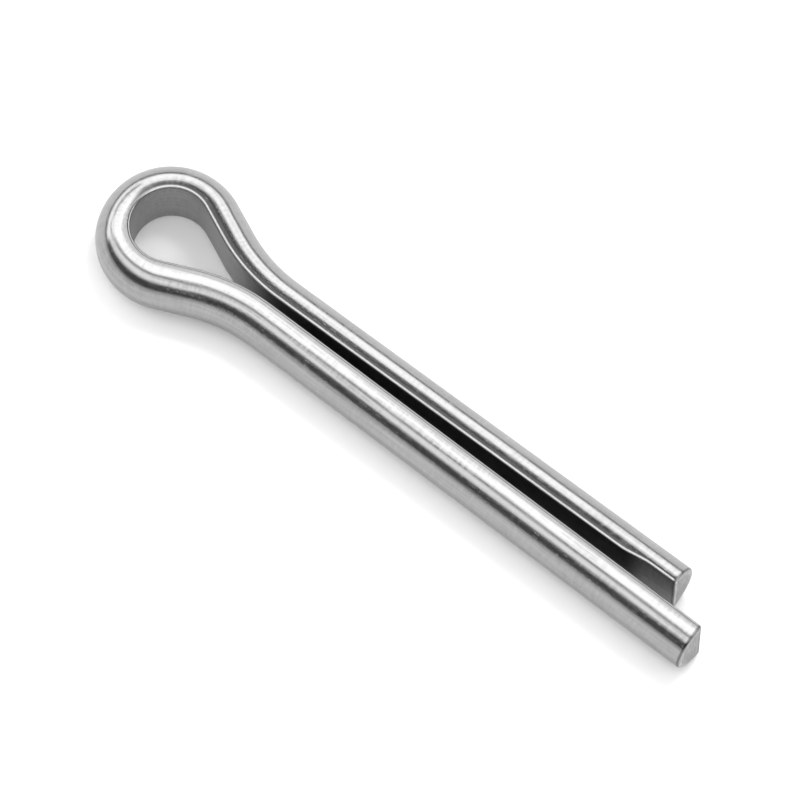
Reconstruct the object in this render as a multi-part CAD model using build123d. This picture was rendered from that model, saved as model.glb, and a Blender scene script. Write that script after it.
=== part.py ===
from build123d import *

import os
from math import asin, atan2, cos, hypot, pi, radians, sin

# A split cotter pin for a 6.3 mm hole: one length of half-round wire, bent into an
# eye, necked in, and laid back on itself as two legs with their flats facing.
# While it is being bent, the middle of the eye is at x = 0, y = 0, the legs point
# along +X, and the wire lies either side of z = 0. The finished pin lies on its
# side on z = 0, with the origin under the middle of its box. Sizes are in mm.

# Wire
wire_radius = 2.9            # of the round side, so the closed legs are 5.8 across
wire_edge_radius = 0.25      # rounding where the flat side meets the round side

# Eye and neck, measured on the flat side of the wire
eye_inner_radius = 3.2       # round part of the eye
shoulder_length = 2.9        # straight run between the eye and the neck bend
neck_radius = 16.2           # reverse bend that brings the wire in line with the shank
neck_gap = 0.6               # between the two flats where the legs begin

# Legs
short_leg_length = 40.0      # from the end of the neck bend to the cut end
long_leg_extra = 3.9         # how far the long leg stands past the short one
leg_splay = radians(0.4)     # how far each leg opens from the axis of the pin
end_edge_radius = 0.25       # broken edge around each cut end

# Relief in the flat of the short leg, which lets a blade in to part the legs
relief_depth = 0.38
relief_flat_length = 2.4     # at full depth, measured back from the cut end
relief_blend_length = 3.0    # S-shaped run back up to the flat, in two equal arcs


def polar(radius, angle):
    """The point at this radius and angle about the middle of the eye."""
    return Vector(radius * cos(angle), radius * sin(angle))


def wire_section():
    """Half disc, with its flat on the local Y axis and its round side towards local +X."""
    round_side = Pos(wire_radius, 0) * Rectangle(2 * wire_radius, 2 * wire_radius)
    return Circle(wire_radius) & round_side


def shoulder_angle():
    """Angle about the eye at which the wire leaves it, so that the neck ends at half the gap."""
    both_bends = eye_inner_radius + neck_radius
    rise = neck_gap / 2 + neck_radius * cos(leg_splay)
    return asin(rise / hypot(both_bends, shoulder_length)) + atan2(shoulder_length, both_bends)


def wire_half(leg_length):
    """The line of the flat on the +Y side, from the back of the eye to the end of a leg."""
    leave = shoulder_angle()
    along_shoulder = polar(1, leave - pi / 2)
    neck_centre_from_start = polar(neck_radius, leave)
    neck_centre_to_end = polar(neck_radius, leg_splay - pi / 2)

    eye_back = polar(eye_inner_radius, pi)
    eye_side = polar(eye_inner_radius, (pi + leave) / 2)
    eye_end = polar(eye_inner_radius, leave)
    neck_start = eye_end + along_shoulder * shoulder_length
    neck_end = neck_start + neck_centre_from_start + neck_centre_to_end
    leg_end = neck_end + polar(leg_length, leg_splay)
    return [
        ThreePointArc(eye_back, eye_side, eye_end),
        Line(eye_end, neck_start),
        TangentArc(neck_start, neck_end, tangent=along_shoulder),
        Line(neck_end, leg_end),
    ]


def bent_wire(short_half):
    """The section swept along the whole wire: the short leg on +Y, the long leg on -Y."""
    long_half = [edge.mirror(Plane.XZ) for edge in wire_half(short_leg_length + long_leg_extra)]
    eye_back = Plane(origin=polar(eye_inner_radius, pi), x_dir=(-1, 0, 0), z_dir=(0, 1, 0))
    return sweep(eye_back * wire_section(), path=Wire(short_half + long_half))


def relief_cutter():
    """What is ground off a flat. Local X runs back along the leg, local Y into the wire."""
    blend_middle = (relief_flat_length + relief_blend_length / 2, relief_depth / 2)
    blend_end = (relief_flat_length + relief_blend_length, 0)
    flat_end = (relief_flat_length, relief_depth)
    clear = neck_gap / 2
    profile = [
        TangentArc(flat_end, blend_middle, tangent=(1, 0)),
        TangentArc(blend_end, blend_middle, tangent=(-1, 0)),
        Line(blend_end, (blend_end[0], -clear)),
        Line((blend_end[0], -clear), (-clear, -clear)),
        Line((-clear, -clear), (-clear, relief_depth)),
        Line((-clear, relief_depth), flat_end),
    ]
    return extrude(make_face(profile), wire_radius, both=True)


def relieved(pin, leg_line):
    """Grind the relief into the flat at the end of this leg."""
    cut_end = Plane(origin=leg_line @ 1, x_dir=leg_line % 1 * -1, z_dir=(0, 0, -1))
    return pin - cut_end * relief_cutter()


def rounded(pin):
    """Round the rails between the flat and the round side, then break the cut ends' edges."""
    rails = pin.edges().filter_by(lambda edge: abs(edge.center().Z) > wire_radius / 2)
    pin = fillet(rails, wire_edge_radius)
    flats = pin.faces().filter_by(GeomType.PLANE)
    cut_ends = flats.filter_by(lambda face: face.normal_at().X > cos(pi / 4))
    return fillet(cut_ends.edges(), end_edge_radius)


def laid_down(pin):
    """Move the pin so that it lies on z = 0, with the origin under the middle of its box."""
    box = pin.bounding_box()
    return Pos(-box.center().X, -box.center().Y, -box.min.Z) * pin


os.makedirs("parts", exist_ok=True)
short_half = wire_half(short_leg_length)
pin = rounded(relieved(bent_wire(short_half), short_half[-1]))
export_step(laid_down(pin), "parts/cotter_pin.step")
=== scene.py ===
"""A split cotter pin bent from half-round steel wire, lying on a white floor.

The file is laid out as an add-on and run as a script. Sizes are in metres, in the
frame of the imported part: +X from the eye to the cut ends, +Z up.
"""

import math

import bpy
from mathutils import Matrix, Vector


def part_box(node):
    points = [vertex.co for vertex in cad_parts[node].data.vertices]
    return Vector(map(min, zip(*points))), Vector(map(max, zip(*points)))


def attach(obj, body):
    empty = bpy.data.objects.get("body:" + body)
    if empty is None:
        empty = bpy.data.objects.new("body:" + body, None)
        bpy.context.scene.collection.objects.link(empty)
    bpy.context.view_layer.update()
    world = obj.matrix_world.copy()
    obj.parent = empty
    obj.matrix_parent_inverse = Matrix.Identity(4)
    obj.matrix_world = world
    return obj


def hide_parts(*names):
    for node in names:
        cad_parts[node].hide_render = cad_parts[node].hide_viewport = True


bl_info = {
    "name": "Split cotter pin",
    "version": (1, 0, 0),
    "blender": (4, 5, 0),
    "location": "3D View > Sidebar > Cotter Pin",
    "description": "Bends a split cotter pin from half-round wire and lays it on a lit floor",
    "category": "Add Mesh",
}

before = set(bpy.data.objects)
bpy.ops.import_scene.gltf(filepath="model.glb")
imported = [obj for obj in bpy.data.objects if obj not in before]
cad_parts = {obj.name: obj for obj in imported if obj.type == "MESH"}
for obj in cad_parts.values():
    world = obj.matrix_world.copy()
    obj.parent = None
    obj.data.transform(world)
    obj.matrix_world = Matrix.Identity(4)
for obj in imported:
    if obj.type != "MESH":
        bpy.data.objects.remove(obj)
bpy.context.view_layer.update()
PIN_LOW, PIN_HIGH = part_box("cotter_pin")
PIN_MIDDLE = (PIN_LOW + PIN_HIGH) / 2

MM = 0.001


# ---------------------------------------------------------------- sizes and finishes


def length(name, description, millimetres):
    """A length that the user may change, kept in metres."""
    return bpy.props.FloatProperty(
        name=name, description=description, default=millimetres * MM,
        min=0, unit="LENGTH", subtype="DISTANCE", precision=5,
    )


def angle(name, description, degrees):
    """An angle that the user may change, kept in radians."""
    return bpy.props.FloatProperty(
        name=name, description=description, default=math.radians(degrees),
        unit="ROTATION", subtype="ANGLE",
    )


def share(name, description, value):
    """A share between 0 and 1."""
    return bpy.props.FloatProperty(
        name=name, description=description, default=value, min=0, max=1, subtype="FACTOR",
    )


def level(name, description, value):
    """A brightness, where 1 is white."""
    return bpy.props.FloatProperty(name=name, description=description, default=value, min=0)


def colour(name, description, value):
    """A grey that the user may tint."""
    return bpy.props.FloatVectorProperty(
        name=name, description=description, default=(value, value, value),
        min=0, max=1, size=3, subtype="COLOR",
    )


class WireSizes(bpy.types.PropertyGroup):
    """Sizes of the bent wire."""

    wire_radius: length("Wire radius", "Radius of the wire's round side", 2.9)
    rail_radius: length("Rail radius", "Rounding where the flat meets the round side", 0.25)
    eye_radius: length("Eye radius", "Inner radius of the eye", 3.2)
    shoulder_length: length("Shoulder", "Straight run between the eye and the neck bend", 2.9)
    neck_radius: length("Neck radius", "Reverse bend that brings the wire in line", 16.2)
    neck_gap: length("Neck gap", "Between the two flats where the legs begin", 0.6)
    short_leg: length("Short leg", "From the end of the neck bend to the cut end", 40.0)
    long_leg_extra: length("Extra length", "How far the long leg stands past the short one", 3.9)
    leg_splay: angle("Leg splay", "How far each leg opens from the pin's axis", 0.4)
    end_edge: length("End edge", "Rounding around each cut end", 0.25)
    relief_depth: length("Relief depth", "Ground off the flat of the short leg's tip", 0.38)
    relief_flat: length("Relief flat", "Length of the relief at full depth", 2.4)
    relief_blend: length("Relief blend", "Run from the relief back up to the flat", 3.0)


class SteelFinish(bpy.types.PropertyGroup):
    """Finish of the steel wire."""

    steel: colour("Steel", "Colour of the bare steel", 0.50)
    round_roughness: share("Round side roughness", "Polish of the drawn round side", 0.17)
    flat_roughness: share("Flat roughness", "Polish of the rolled flat", 0.34)
    end_roughness: share("Cut end roughness", "Polish of the sheared ends", 0.50)
    streaks: share("Drawing lines", "How strongly the drawing lines show", 0.50)
    scuffs: share("Scuffs", "How strongly the fine lines across the wire show", 0.25)
    # The next setting is painted shade: it darkens the flats where the two legs face each other.
    gap_shade: share("Painted gap shade", "How dark the painted shade on the flats between the legs is", 0.70)
    # The next setting is painted shade: a dark line on each cut end's rounding, in place of its
    # dark reflections.
    edge_shade: share("Painted edge shade", "How dark the line around each cut end is", 0.55)


class StageSettings(bpy.types.PropertyGroup):
    """Floor, lights and camera."""

    floor: colour("Floor", "Colour of the floor", 1.0)
    floor_in_steel: share("Floor in steel", "How bright the floor looks in the steel", 0.64)
    overhead: level("Overhead strip", "Brightness of the strip above the pin", 1.6)
    crown: level("Crown strip", "Brightness of the dimmer strip beside the one overhead", 0.85)
    front: level("Front strip", "Brightness of the strip in front of the long leg", 1.1)
    sill: level("Sill strip", "Brightness of the low strip in front, where the floor ends", 0.55)
    wall: level("Back wall", "Brightness of the low curved wall behind the pin", 1.9)
    haze: level("Haze strip", "Brightness of the faint strip above the back wall", 0.15)
    key: level("Key light", "Brightness that the key light adds to the floor", 0.28)
    room: level("Room", "Brightness of the room between the strips", 0.05)
    azimuth: angle("Azimuth", "Turn of the camera around the pin", 38.63)
    elevation: angle("Elevation", "Height of the camera above the floor", 67.5)
    field_width: length("Field width", "Width of what the camera sees at the pin", 63.99)
    camera_distance: length("Camera distance", "From the camera to the pin", 600.0)


# ---------------------------------------------------------------- node helpers


def add_node(tree, kind, inputs=None, **settings):
    """Add a node, set its settings, and join or set its inputs."""
    node = tree.nodes.new(kind)
    for name, value in settings.items():
        setattr(node, name, value)
    for key, value in (inputs or {}).items():
        if isinstance(value, bpy.types.NodeSocket):
            tree.links.new(value, node.inputs[key])
        else:
            node.inputs[key].default_value = value
    return node


def calc(tree, operation, *values, clamp=False):
    """A Math node's result."""
    node = add_node(tree, "ShaderNodeMath", dict(enumerate(values)), operation=operation)
    node.use_clamp = clamp
    return node.outputs[0]


def vector_calc(tree, operation, *values):
    """A Vector Math node's result."""
    node = add_node(tree, "ShaderNodeVectorMath", dict(enumerate(values)), operation=operation)
    return node.outputs["Value" if operation in ("LENGTH", "DOT_PRODUCT") else "Vector"]


def product(tree, first, *others):
    """These values multiplied, in this order."""
    for other in others:
        first = calc(tree, "MULTIPLY", first, other)
    return first


def scaled(tree, vector, scale):
    """A vector times a number."""
    node = add_node(tree, "ShaderNodeVectorMath", {0: vector, "Scale": scale}, operation="SCALE")
    return node.outputs["Vector"]


def eased(tree, value, start, end, at_start, at_end):
    """A value eased from one level to another between two places."""
    node = add_node(
        tree, "ShaderNodeMapRange",
        {"Value": value, "From Min": start, "From Max": end, "To Min": at_start, "To Max": at_end},
        interpolation_type="SMOOTHSTEP",
    )
    return node.outputs["Result"]


def kept_vector(tree, name):
    """A vector that the wire's node tree left on the mesh, as a shader reads it."""
    node = add_node(tree, "ShaderNodeAttribute", attribute_type="GEOMETRY", attribute_name=name)
    return node.outputs["Vector"]


def split(tree, vector):
    """The X, Y and Z outputs of a vector."""
    return add_node(tree, "ShaderNodeSeparateXYZ", {0: vector}).outputs


def joined(tree, **parts):
    """A vector made from X, Y and Z."""
    return add_node(tree, "ShaderNodeCombineXYZ", parts).outputs[0]


def mixed(tree, share_of_second, first, second):
    """A number between two others."""
    node = add_node(tree, "ShaderNodeMix", {0: share_of_second, 2: first, 3: second})
    return node.outputs[0]


def new_sockets(tree, in_out, kind, *names):
    """Named sockets of one kind on a node group."""
    for name in names:
        tree.interface.new_socket(name=name, in_out=in_out, socket_type=kind)


# ---------------------------------------------------------------- shape of the wire

STRAIGHT_STEP = 0.25 * MM      # between rows of the skin along a straight
BEND_STEP = 0.10 * MM          # and along a bend
END_ROWS = 7                   # rows in the rounding of a cut end
END_CLEARANCE = 1.2            # other rows keep this many roundings from a cut end
FLAT_COLUMNS = 22
RAIL_COLUMNS = 8
ROUND_COLUMNS = 64
RELIEF_REACH = 0.55            # share of the radius over which the relief's shift dies out
SMALLEST_LENGTH = MM * MM
SMALLEST_SQUARE = MM ** 3


def shoulder_angle(sizes):
    """Angle about the eye at which the wire leaves it."""
    both_bends = sizes.eye_radius + sizes.neck_radius
    rise = sizes.neck_gap / 2 + sizes.neck_radius * math.cos(sizes.leg_splay)
    lead = math.atan2(sizes.shoulder_length, both_bends)
    return math.asin(rise / math.hypot(both_bends, sizes.shoulder_length)) + lead


def wire_runs(sizes):
    """Length and turn of each run of the flat's line, from the short cut end to the long one."""
    leave = shoulder_angle(sizes)
    neck_turn = math.pi / 2 - leave + sizes.leg_splay
    neck = (sizes.neck_radius * neck_turn, -neck_turn)
    shoulder = (sizes.shoulder_length, 0)
    eye_turn = 2 * (math.pi - leave)
    eye = (sizes.eye_radius * eye_turn, eye_turn)
    short_leg = (sizes.short_leg, 0)
    long_leg = (sizes.short_leg + sizes.long_leg_extra, 0)
    return [short_leg, neck, shoulder, eye, shoulder, neck, long_leg]


def wire_rows(sizes):
    """Distances along the wire at which a ring of the skin is laid."""
    rows = []
    start = 0
    for run, turn in wire_runs(sizes):
        steps = math.ceil(run / (BEND_STEP if turn else STRAIGHT_STEP))
        rows += [start + run * step / steps for step in range(steps)]
        start += run
    edge = sizes.end_edge
    rounds = [edge * (1 - math.cos(math.pi / 2 * row / END_ROWS)) for row in range(END_ROWS + 1)]
    clear = edge * END_CLEARANCE
    middle = [row for row in rows if clear < row < start - clear]
    return rounds + middle + [start - row for row in reversed(rounds)]


def wire_line(sizes):
    """Points on the line of the flat, one at each row."""
    leave = shoulder_angle(sizes)
    eye_x = PIN_LOW.x + sizes.eye_radius + sizes.wire_radius
    neck_end_x = (
        eye_x
        + sizes.eye_radius * math.cos(leave)
        + sizes.shoulder_length * math.sin(leave)
        + sizes.neck_radius * (math.cos(leave) + math.sin(sizes.leg_splay))
    )
    heading = math.pi + sizes.leg_splay
    here = Vector((
        neck_end_x + sizes.short_leg * math.cos(sizes.leg_splay),
        sizes.neck_gap / 2 + sizes.short_leg * math.sin(sizes.leg_splay),
        PIN_MIDDLE.z,
    ))
    rows = wire_rows(sizes)
    points = []
    start = 0
    for run, turn in wire_runs(sizes):
        last = start + run
        for row in rows:
            if start <= row < last:
                points.append(along_run(here, heading, row - start, run, turn))
        here = along_run(here, heading, run, run, turn)
        heading += turn
        start = last
    points += [here] * (len(rows) - len(points))
    return points


def along_run(start, heading, distance, run, turn):
    """The point this far along a run that turns evenly."""
    turned = turn * distance / run
    chord = distance if turned == 0 else distance * math.sin(turned / 2) / (turned / 2)
    way = heading + turned / 2
    return start + Vector((math.cos(way), math.sin(way), 0)) * chord


def wire_section(sizes):
    """Half disc with rounded rails: x from the flat towards the round side, y up."""
    radius, rail = sizes.wire_radius, sizes.rail_radius
    rail_y = math.sqrt((radius - rail) ** 2 - rail ** 2)
    rail_turn = math.atan2(rail_y, rail)
    points = []
    for step in range(ROUND_COLUMNS):
        turn = rail_turn * (2 * step / ROUND_COLUMNS - 1)
        points.append((radius * math.cos(turn), radius * math.sin(turn)))
    for step in range(RAIL_COLUMNS):
        turn = rail_turn + (math.pi - rail_turn) * step / RAIL_COLUMNS
        points.append((rail + rail * math.cos(turn), rail_y + rail * math.sin(turn)))
    for step in range(FLAT_COLUMNS):
        points.append((0, rail_y * (1 - 2 * step / FLAT_COLUMNS)))
    for step in range(RAIL_COLUMNS):
        turn = math.pi + (math.pi - rail_turn) * step / RAIL_COLUMNS
        points.append((rail + rail * math.cos(turn), -rail_y + rail * math.sin(turn)))
    return [Vector((x, y, 0)) for x, y in points]


def line_object(name, points, closed):
    """A curve of straight segments through these points."""
    curve = bpy.data.curves.new(name, "CURVE")
    curve.dimensions = "3D"
    spline = curve.splines.new("POLY")
    spline.points.add(len(points) - 1)
    for point, place in zip(spline.points, points):
        point.co = (*place, 1)
    spline.use_cyclic_u = closed
    return bpy.data.objects.new(name, curve)


def captured(tree, geometry, **fields):
    """Keep these fields on a curve's points, so that the skin can read them."""
    node = add_node(tree, "GeometryNodeCaptureAttribute", domain="POINT")
    for name, (kind, field) in fields.items():
        node.capture_items.new(kind, name)
        tree.links.new(field, node.inputs[name])
    tree.links.new(geometry, node.inputs["Geometry"])
    return node.outputs


def end_inset(tree, size, from_end):
    """How far the skin steps in at a cut end, a quarter circle over the end's rounding."""
    into_edge = calc(tree, "MAXIMUM", calc(tree, "SUBTRACT", size["End Edge"], from_end), 0.0)
    edge_squared = product(tree, size["End Edge"], size["End Edge"])
    reach = calc(tree, "SUBTRACT", edge_squared, product(tree, into_edge, into_edge))
    reach = calc(tree, "SQRT", calc(tree, "MAXIMUM", reach, 0.0))
    inset = calc(tree, "SUBTRACT", size["End Edge"], reach)
    return product(tree, inset, calc(tree, "GREATER_THAN", into_edge, 0.0))


def half_height_squared(tree, size, across):
    """Half the round side's height this far from the flat, squared."""
    radius_squared = product(tree, size["Wire Radius"], size["Wire Radius"])
    height = calc(tree, "SUBTRACT", radius_squared, product(tree, across, across))
    return calc(tree, "MAXIMUM", height, SMALLEST_SQUARE)


def with_vector(tree, geometry, name, vector):
    """The geometry with a named vector stored on its points."""
    return add_node(
        tree, "GeometryNodeStoreNamedAttribute",
        {"Geometry": geometry, "Name": name, "Value": vector},
        data_type="FLOAT_VECTOR", domain="POINT",
    ).outputs[0]


def wire_tree():
    """Geometry nodes that skin the line of the wire with the section.

    They leave two vectors on the skin. wire_place is the place along the wire, across
    from the flat, and up. wire_edges is the distance from the nearer cut end, the
    distance from the flat, and the depth of the relief.
    """
    tree = bpy.data.node_groups.new("Half-round wire", "GeometryNodeTree")
    new_sockets(tree, "INPUT", "NodeSocketObject", "Line", "Section")
    new_sockets(tree, "INPUT", "NodeSocketFloat", "Wire Radius", "Rail Radius", "End Edge")
    new_sockets(tree, "INPUT", "NodeSocketFloat", "Relief Depth", "Relief Flat", "Relief Blend")
    new_sockets(tree, "INPUT", "NodeSocketMaterial", "Material")
    new_sockets(tree, "OUTPUT", "NodeSocketGeometry", "Wire")
    size = add_node(tree, "NodeGroupInput").outputs
    line = add_node(tree, "GeometryNodeObjectInfo", {"Object": size["Line"]})
    section = add_node(tree, "GeometryNodeObjectInfo", {"Object": size["Section"]})
    here = add_node(tree, "GeometryNodeInputPosition").outputs[0]
    ahead = add_node(tree, "GeometryNodeInputTangent").outputs[0]
    run = add_node(tree, "GeometryNodeSplineParameter").outputs["Length"]
    whole = add_node(tree, "GeometryNodeCurveLength", {0: line.outputs["Geometry"]}).outputs[0]

    line_kept = captured(
        tree, line.outputs["Geometry"],
        Place=("VECTOR", here), Ahead=("VECTOR", ahead), Along=("FLOAT", run),
    )
    section_kept = captured(
        tree, section.outputs["Geometry"], Point=("VECTOR", here), Edge=("VECTOR", ahead),
    )
    skin = add_node(
        tree, "GeometryNodeCurveToMesh",
        {
            "Curve": line_kept["Geometry"],
            "Profile Curve": section_kept["Geometry"],
            "Fill Caps": True,
        },
    )

    # The relief moves the flat into the wire and keeps the round side where it is.
    along = line_kept["Along"]
    blend_end = calc(tree, "ADD", size["Relief Flat"], size["Relief Blend"])
    relief = eased(tree, along, size["Relief Flat"], blend_end, size["Relief Depth"], 0.0)
    point = split(tree, section_kept["Point"])
    reach_end = product(tree, size["Wire Radius"], RELIEF_REACH)
    shift = eased(tree, point["X"], size["Rail Radius"], reach_end, relief, 0.0)
    across = calc(tree, "ADD", point["X"], shift)
    was = half_height_squared(tree, size, point["X"])
    now = half_height_squared(tree, size, across)
    up = product(tree, point["Y"], calc(tree, "SQRT", calc(tree, "DIVIDE", now, was)))

    # The edge of a cut end steps in square to the section's outline.
    from_end = calc(tree, "MINIMUM", along, calc(tree, "SUBTRACT", whole, along))
    inset = end_inset(tree, size, from_end)
    edge = split(tree, section_kept["Edge"])
    across_in = calc(tree, "SUBTRACT", across, product(tree, inset, edge["Y"]))
    up_in = calc(tree, "ADD", up, product(tree, inset, edge["X"]))
    outward = vector_calc(tree, "CROSS_PRODUCT", line_kept["Ahead"], (0, 0, 1))
    outward = scaled(tree, vector_calc(tree, "NORMALIZE", outward), across_in)
    offset = vector_calc(tree, "ADD", outward, joined(tree, Z=up_in))
    place = vector_calc(tree, "ADD", line_kept["Place"], offset)

    from_flat = calc(tree, "SUBTRACT", across, relief)
    wire = skin.outputs["Mesh"]
    wire = with_vector(tree, wire, "wire_place", joined(tree, X=along, Y=across_in, Z=up_in))
    wire = with_vector(tree, wire, "wire_edges", joined(tree, X=from_end, Y=from_flat, Z=relief))
    off_the_face = calc(tree, "GREATER_THAN", from_end, SMALLEST_LENGTH)
    for kind, inputs, settings in (
        ("GeometryNodeSetPosition", {"Position": place}, {}),
        ("GeometryNodeSetShadeSmooth", {"Shade Smooth": off_the_face}, {"domain": "FACE"}),
        ("GeometryNodeMergeByDistance", {"Distance": SMALLEST_LENGTH}, {}),
        ("GeometryNodeRealizeInstances", {}, {}),
        ("GeometryNodeSetMaterial", {"Material": size["Material"]}, {}),
    ):
        wire = add_node(tree, kind, {"Geometry": wire, **inputs}, **settings).outputs[0]
    add_node(tree, "NodeGroupOutput", {"Wire": wire})
    return tree


def set_input(modifier, name, value):
    """Set a modifier's input through its socket's identifier."""
    for item in modifier.node_group.interface.items_tree:
        if item.name == name and item.in_out == "INPUT":
            modifier[item.identifier] = value
            return
    raise RuntimeError(f"the node tree has no input named {name}")


def bend_wire(sizes, material):
    """The finished wire as a plain mesh object at the origin."""
    line = line_object("wire_line", wire_line(sizes), closed=False)
    section = line_object("wire_section", wire_section(sizes), closed=True)
    helpers = (line, section)
    for helper in helpers:
        bpy.context.scene.collection.objects.link(helper)
    carrier = bpy.data.objects.new("wire_carrier", bpy.data.meshes.new("wire_carrier"))
    bpy.context.scene.collection.objects.link(carrier)
    modifier = carrier.modifiers.new("Half-round wire", "NODES")
    modifier.node_group = wire_tree()
    values = {
        "Line": line,
        "Section": section,
        "Wire Radius": sizes.wire_radius,
        "Rail Radius": sizes.rail_radius,
        "End Edge": sizes.end_edge,
        "Relief Depth": sizes.relief_depth,
        "Relief Flat": sizes.relief_flat,
        "Relief Blend": sizes.relief_blend,
        "Material": material,
    }
    for name, value in values.items():
        set_input(modifier, name, value)
    depsgraph = bpy.context.evaluated_depsgraph_get()
    mesh = bpy.data.meshes.new_from_object(carrier.evaluated_get(depsgraph))
    for helper in (*helpers, carrier):
        bpy.data.objects.remove(helper)
    if not mesh.polygons:
        raise RuntimeError("the wire's node tree made no faces")
    mesh.name = "pin_wire"
    wire = bpy.data.objects.new("pin_wire", mesh)
    bpy.context.scene.collection.objects.link(wire)
    return wire


# ---------------------------------------------------------------- steel

STREAKS_PER_METRE = 5200.0     # drawing lines, counted across the wire
STREAK_STRETCH = 140.0         # and how fast they change along it
STREAK_NOISE = {"Detail": 3.0, "Roughness": 0.6}
STREAK_RANGE = (0.3, 0.7)      # of the noise, spread to the whole range
SCUFFS_PER_METRE = 3600.0      # fine lines across the wire
SCUFF_STRETCH = 700.0
SCUFF_NOISE = {"Detail": 2.0, "Roughness": 0.5}
SCUFF_RANGE = (0.35, 0.7)
CUTS_PER_METRE = 7000.0        # lines that the cutter left on the end faces
CUT_STRETCH = 900.0
CUT_NOISE = {"Detail": 2.0, "Roughness": 0.6}
CUT_RANGE = (0.35, 0.65)

FACE_FADE = (0.02 * MM, 0.12 * MM)     # from a cut face, where its finish dies out
FLAT_FADE = (0.03 * MM, 0.12 * MM)     # from the flat, where its finish dies out
EDGE_SHADE_START = (0.03 * MM, 0.10 * MM)    # from a cut face, where the painted edge shade comes in
EDGE_SHADE_END = (0.8, 1.25)                 # shares of the end's rounding, where it dies out
GAP_SHADE_END = (0.9, 1.1)                  # shares of the short leg, where the painted shade between the legs dies out
RIM_START = (0.30 * MM, 0.12 * MM)     # inside the end face's rim, where its glint comes in

WEAR = 0.16                    # how far the lines change colour and polish
CUT_LINES = 0.12               # how far the cutter's lines change colour
RIM_GLINT = 0.22               # how much brighter the end face is at its rim
RELIEF_HIGHLIGHT = 0.5             # how much brighter the painted highlight makes the relief
BUMP_STRENGTH = 0.035
BUMP_DEPTH = 0.01 * MM


def fine_lines(tree, place, per_metre, noise, noise_range):
    """Noise drawn out into lines, from -1 to 1."""
    stretched = vector_calc(tree, "MULTIPLY", place, per_metre)
    node = add_node(tree, "ShaderNodeTexNoise", {"Vector": stretched, "Scale": 1.0, **noise})
    return eased(tree, node.outputs["Fac"], *noise_range, -1.0, 1.0)


def wire_lines_group():
    """Fine lines left by the die and the cutter, as masks and a height."""
    tree = bpy.data.node_groups.new("Wire lines", "ShaderNodeTree")
    new_sockets(tree, "INPUT", "NodeSocketFloat", "Lines Along", "Lines Across")
    new_sockets(tree, "OUTPUT", "NodeSocketFloat", "Streak", "Scuff", "Cut", "Height")
    given = add_node(tree, "NodeGroupInput").outputs
    place = kept_vector(tree, "wire_place")
    along = (STREAK_STRETCH, STREAKS_PER_METRE, STREAKS_PER_METRE)
    across = (SCUFFS_PER_METRE, SCUFF_STRETCH, SCUFF_STRETCH)
    down_face = (0, CUTS_PER_METRE, CUT_STRETCH)
    streak = fine_lines(tree, place, along, STREAK_NOISE, STREAK_RANGE)
    streak = product(tree, streak, given["Lines Along"])
    scuff = fine_lines(tree, place, across, SCUFF_NOISE, SCUFF_RANGE)
    scuff = product(tree, scuff, given["Lines Across"])
    cut = fine_lines(tree, place, down_face, CUT_NOISE, CUT_RANGE)
    height = calc(tree, "ADD", streak, scuff)
    add_node(
        tree, "NodeGroupOutput", {"Streak": streak, "Scuff": scuff, "Cut": cut, "Height": height}
    )
    return tree


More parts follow.
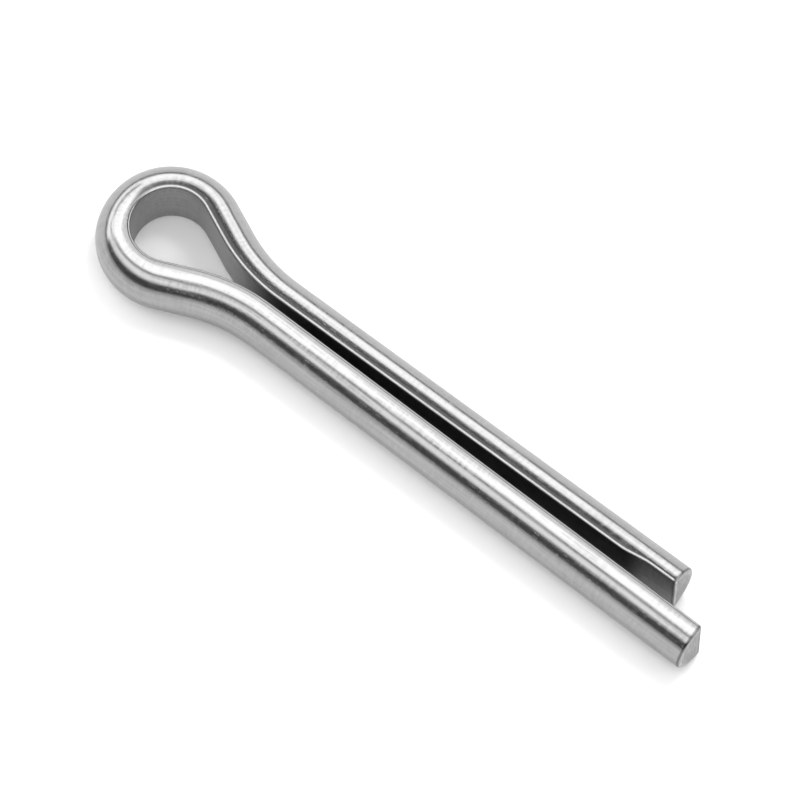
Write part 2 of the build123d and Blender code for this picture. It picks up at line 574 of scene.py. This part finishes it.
def wire_steel(finish, sizes):
    """Drawn and polished steel: bright round side, duller flats, matt cut ends."""
    material = bpy.data.materials.new("Drawn steel wire")
    material.use_nodes = True
    tree = material.node_tree
    shader = tree.nodes["Principled BSDF"]
    group = tree.nodes.new("ShaderNodeGroup")
    group.node_tree = wire_lines_group()
    group.inputs["Lines Along"].default_value = finish.streaks
    group.inputs["Lines Across"].default_value = finish.scuffs
    edge = split(tree, kept_vector(tree, "wire_edges"))
    cut = eased(tree, edge["X"], *FACE_FADE, 1.0, 0.0)
    flat = eased(tree, edge["Y"], *FLAT_FADE, 1.0, 0.0)

    # Polish
    rough = mixed(tree, flat, finish.round_roughness, finish.flat_roughness)
    rough = mixed(tree, cut, rough, finish.end_roughness)
    lines = calc(tree, "ADD", group.outputs["Streak"], group.outputs["Scuff"])
    wear = product(tree, lines, WEAR)
    rough = calc(tree, "ADD", rough, calc(tree, "ABSOLUTE", wear), clamp=True)

    # Painted shade on the flats between the legs, where the legs shade each other, and a painted
    # highlight that brightens the relief at the short leg's tip
    gap_shade_start, gap_shade_end = (sizes.short_leg * part for part in GAP_SHADE_END)
    leg = eased(tree, edge["X"], gap_shade_start, gap_shade_end, 1.0, 0.0)
    unground = eased(tree, edge["Z"], 0.0, sizes.relief_depth, 1.0, 0.0)
    gap_shade = product(tree, flat, leg, unground, finish.gap_shade)
    # A painted highlight: the relief's colour is made brighter in place of the light it would
    # catch.
    relief_highlight = product(tree, flat, calc(tree, "SUBTRACT", 1.0, unground), RELIEF_HIGHLIGHT)

    # Painted shade as a dark line on each cut end's rounding, in place of its dark reflections, a
    # painted glint on the end face's rim, and the cutter lines
    past_face = eased(tree, edge["X"], *EDGE_SHADE_START, 0.0, 1.0)
    edge_shade_start, edge_shade_end = (sizes.end_edge * part for part in EDGE_SHADE_END)
    edge_shade = eased(tree, edge["X"], edge_shade_start, edge_shade_end, 1.0, 0.0)
    edge_shade = product(tree, edge_shade, past_face, finish.edge_shade)
    in_section = vector_calc(tree, "MULTIPLY", kept_vector(tree, "wire_place"), (0, 1, 1))
    from_axis = vector_calc(tree, "LENGTH", in_section)
    rim_end = sizes.wire_radius - sizes.end_edge
    rim_start, rim_full = (rim_end - inside for inside in RIM_START)
    rim = eased(tree, from_axis, rim_start, rim_full, 0.0, 1.0)
    rim = product(tree, rim, cut, RIM_GLINT)
    cut_lines = product(tree, group.outputs["Cut"], cut, CUT_LINES)

    shade = product(
        tree,
        calc(tree, "ADD", 1.0, calc(tree, "ADD", wear, cut_lines)),
        calc(tree, "ADD", 1.0, relief_highlight),
        calc(tree, "SUBTRACT", 1.0, gap_shade),
        calc(tree, "SUBTRACT", 1.0, edge_shade),
        calc(tree, "ADD", 1.0, rim),
    )
    bump = add_node(
        tree, "ShaderNodeBump",
        {"Height": group.outputs["Height"], "Strength": BUMP_STRENGTH, "Distance": BUMP_DEPTH},
    )
    tree.links.new(scaled(tree, tuple(finish.steel), shade), shader.inputs["Base Color"])
    tree.links.new(rough, shader.inputs["Roughness"])
    tree.links.new(bump.outputs[0], shader.inputs["Normal"])
    shader.inputs["Metallic"].default_value = 1.0
    return material


# ---------------------------------------------------------------- floor, lights, camera

FLOOR_HALF = 1.5
STRIP_DISTANCE = 0.40          # from the pin to every light
STRIP_HALF_LENGTH = 0.9
STRIP_POWER = 4                # per area of a strip that looks as bright as white
KEY_ANGLE = 62                 # degrees above the floor
KEY_WIDTH = 0.12

# Each strip lies between two angles about the X axis, in degrees. An angle of 0 is
# level with the floor on the +Y side, and 90 is overhead.
HAZE_ARC = (52, 65)
CROWN_ARC = (70, 92)
OVERHEAD_ARC = (93, 119)
FRONT_ARC = (127, 146)
SILL_ARC = (173, 179)

# Each wall lies between two turns and two heights, in degrees. A turn of 90 is behind
# the pin on the +Y side, and 180 is beyond the eye.
WALL_STEPS = 48
BACK_TURNS, BACK_HEIGHTS = (30, 152), (9, 37)
SIDE_LOW_TURNS, SIDE_LOW_HEIGHTS = (152, 205), (8, 19)
SIDE_HIGH_TURNS, SIDE_HIGH_HEIGHTS = (152, 200), (27, 50)

# The camera aims beside the middle of the pin's box.
AIM_RIGHT = -0.44 * MM
AIM_UP = 0.93 * MM
CLIP_SHARES = (0.1, 10)        # of the camera's distance


def floor_object(stage):
    """A large plain floor under the pin."""
    mesh = bpy.data.meshes.new("floor")
    signs = ((-1, -1), (1, -1), (1, 1), (-1, 1))
    corners = [(x * FLOOR_HALF, y * FLOOR_HALF, 0) for x, y in signs]
    mesh.from_pydata(corners, [], [(0, 1, 2, 3)])
    floor = bpy.data.objects.new("floor", mesh)
    bpy.context.scene.collection.objects.link(floor)
    material = bpy.data.materials.new("White floor")
    material.use_nodes = True
    tree = material.node_tree
    shader = tree.nodes["Principled BSDF"]
    in_steel = add_node(tree, "ShaderNodeLightPath").outputs["Is Glossy Ray"]
    dimmed = mixed(tree, in_steel, 1.0, stage.floor_in_steel)
    tree.links.new(scaled(tree, tuple(stage.floor), dimmed), shader.inputs["Base Color"])
    shader.inputs["Roughness"].default_value = 1.0
    shader.inputs["Specular IOR Level"].default_value = 0.0
    mesh.materials.append(material)
    return floor


def strip_light(name, arc, brightness):
    """A long soft strip beside the pin, between the two angles of its arc."""
    from_angle, to_angle = arc
    middle = math.radians((from_angle + to_angle) / 2)
    half_angle = math.radians((to_angle - from_angle) / 2)
    light = bpy.data.lights.new(name, "AREA")
    light.shape = "RECTANGLE"
    light.size = 2 * STRIP_HALF_LENGTH
    light.size_y = 2 * STRIP_DISTANCE * math.tan(half_angle)
    light.energy = STRIP_POWER * light.size * light.size_y * brightness
    lamp = bpy.data.objects.new(name, light)
    lamp.location = PIN_MIDDLE + Vector((0, math.cos(middle), math.sin(middle))) * STRIP_DISTANCE
    lamp.rotation_euler = (middle - math.pi / 2, 0, 0)
    lamp.visible_camera = False
    bpy.context.scene.collection.objects.link(lamp)


def lit_wall(name, turns, heights, brightness):
    """A curved wall of light about the pin, between two turns and two heights."""
    mesh = bpy.data.meshes.new(name)
    corners = []
    for step in range(WALL_STEPS + 1):
        turn = math.radians(turns[0] + (turns[1] - turns[0]) * step / WALL_STEPS)
        foot = Vector((math.cos(turn), math.sin(turn), 0)) * STRIP_DISTANCE
        for height in heights:
            rise = STRIP_DISTANCE * math.tan(math.radians(height))
            corners.append(foot + Vector((0, 0, rise)))
    sides = [(2 * step, 2 * step + 2, 2 * step + 3, 2 * step + 1) for step in range(WALL_STEPS)]
    mesh.from_pydata(corners, [], sides)
    wall = bpy.data.objects.new(name, mesh)
    bpy.context.scene.collection.objects.link(wall)
    wall.visible_camera = False
    material = bpy.data.materials.new("Lit wall")
    material.use_nodes = True
    shader = material.node_tree.nodes["Principled BSDF"]
    shader.inputs["Base Color"].default_value = (0, 0, 0, 1)
    shader.inputs["Emission Color"].default_value = (1, 1, 1, 1)
    shader.inputs["Emission Strength"].default_value = brightness
    mesh.materials.append(material)
    return wall


def key_light(stage):
    """A small soft light high on the +Y side, for the shadow only: the steel doesn't show it."""
    turn = math.radians(KEY_ANGLE)
    light = bpy.data.lights.new("key", "AREA")
    light.size = KEY_WIDTH
    light.energy = stage.key * 4 * math.pi * STRIP_DISTANCE ** 2 / math.sin(turn)
    lamp = bpy.data.objects.new("key", light)
    lamp.location = PIN_MIDDLE + Vector((0, math.cos(turn), math.sin(turn))) * STRIP_DISTANCE
    lamp.rotation_euler = (turn - math.pi / 2, 0, 0)
    lamp.visible_camera = False
    lamp.visible_glossy = False
    bpy.context.scene.collection.objects.link(lamp)


def room_light(stage):
    """Dim room between the strips, plain white where the camera looks past the floor."""
    world = bpy.data.worlds.new("Room")
    bpy.context.scene.world = world
    world.use_nodes = True
    tree = world.node_tree
    seen = add_node(tree, "ShaderNodeLightPath").outputs["Is Camera Ray"]
    strength = mixed(tree, seen, stage.room, 1.0)
    tree.links.new(strength, tree.nodes["Background"].inputs["Strength"])
    tree.nodes["Background"].inputs["Color"].default_value = (1, 1, 1, 1)


def stage_camera(stage):
    """A camera with a long lens, high over the long leg."""
    turn, height = stage.azimuth, stage.elevation
    back = Vector((
        math.sin(turn) * math.cos(height),
        -math.cos(turn) * math.cos(height),
        math.sin(height),
    ))
    right = Vector((math.cos(turn), math.sin(turn), 0))
    above = back.cross(right)
    aim = PIN_MIDDLE + right * AIM_RIGHT + above * AIM_UP
    data = bpy.data.cameras.new("camera")
    data.lens = data.sensor_width * stage.camera_distance / stage.field_width
    data.clip_start, data.clip_end = (stage.camera_distance * part for part in CLIP_SHARES)
    camera = bpy.data.objects.new("camera", data)
    camera.location = aim + back * stage.camera_distance
    camera.rotation_mode = "QUATERNION"
    camera.rotation_quaternion = (-back).to_track_quat("-Z", "Y")
    bpy.context.scene.collection.objects.link(camera)
    bpy.context.scene.camera = camera


# ---------------------------------------------------------------- operators and panel


class COTTERPIN_OT_bend_wire(bpy.types.Operator):
    """Bend the wire into the pin and finish it in drawn steel"""

    bl_idname = "cotterpin.bend_wire"
    bl_label = "Bend Wire"

    def execute(self, context):
        sizes = context.scene.cotterpin_wire
        steel = wire_steel(context.scene.cotterpin_steel, sizes)
        wire = bend_wire(sizes, steel)
        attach(wire, "root")
        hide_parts("cotter_pin")
        return {"FINISHED"}


class COTTERPIN_OT_set_stage(bpy.types.Operator):
    """Lay the floor, hang the strip lights and set up the camera"""

    bl_idname = "cotterpin.set_stage"
    bl_label = "Set Stage"

    def execute(self, context):
        stage = context.scene.cotterpin_stage
        floor = floor_object(stage)
        lit_wall("back_wall", BACK_TURNS, BACK_HEIGHTS, stage.wall)
        lit_wall("side_wall_low", SIDE_LOW_TURNS, SIDE_LOW_HEIGHTS, stage.wall)
        lit_wall("side_wall_high", SIDE_HIGH_TURNS, SIDE_HIGH_HEIGHTS, stage.wall)
        key_light(stage)
        room_light(stage)
        strip_light("haze_strip", HAZE_ARC, stage.haze)
        strip_light("crown_strip", CROWN_ARC, stage.crown)
        strip_light("overhead_strip", OVERHEAD_ARC, stage.overhead)
        strip_light("front_strip", FRONT_ARC, stage.front)
        strip_light("sill_strip", SILL_ARC, stage.sill)
        stage_camera(stage)
        context.scene.view_settings.view_transform = "Standard"
        return {"FINISHED"}


class COTTERPIN_PT_panel(bpy.types.Panel):
    """Sizes, finish and stage of the pin, with the buttons that make them"""

    bl_idname = "COTTERPIN_PT_panel"
    bl_label = "Cotter Pin"
    bl_space_type = "VIEW_3D"
    bl_region_type = "UI"
    bl_category = "Cotter Pin"

    def draw(self, context):
        scene = context.scene
        for group, operator in (
            (scene.cotterpin_wire, COTTERPIN_OT_bend_wire),
            (scene.cotterpin_steel, COTTERPIN_OT_bend_wire),
            (scene.cotterpin_stage, COTTERPIN_OT_set_stage),
        ):
            box = self.layout.box()
            for name in group.bl_rna.properties.keys():
                if name not in ("rna_type", "name"):
                    box.prop(group, name)
            box.operator(operator.bl_idname)


CLASSES = (
    WireSizes,
    SteelFinish,
    StageSettings,
    COTTERPIN_OT_bend_wire,
    COTTERPIN_OT_set_stage,
    COTTERPIN_PT_panel,
)


def register():
    for cls in CLASSES:
        bpy.utils.register_class(cls)
    scene_type = bpy.types.Scene
    scene_type.cotterpin_wire = bpy.props.PointerProperty(type=WireSizes)
    scene_type.cotterpin_steel = bpy.props.PointerProperty(type=SteelFinish)
    scene_type.cotterpin_stage = bpy.props.PointerProperty(type=StageSettings)


def unregister():
    del bpy.types.Scene.cotterpin_stage
    del bpy.types.Scene.cotterpin_steel
    del bpy.types.Scene.cotterpin_wire
    for cls in reversed(CLASSES):
        bpy.utils.unregister_class(cls)


def main():
    """Make the pin and the stage."""
    register()
    bpy.ops.cotterpin.bend_wire()
    bpy.ops.cotterpin.set_stage()
    bpy.context.view_layer.update()


if __name__ == "__main__":
    main()
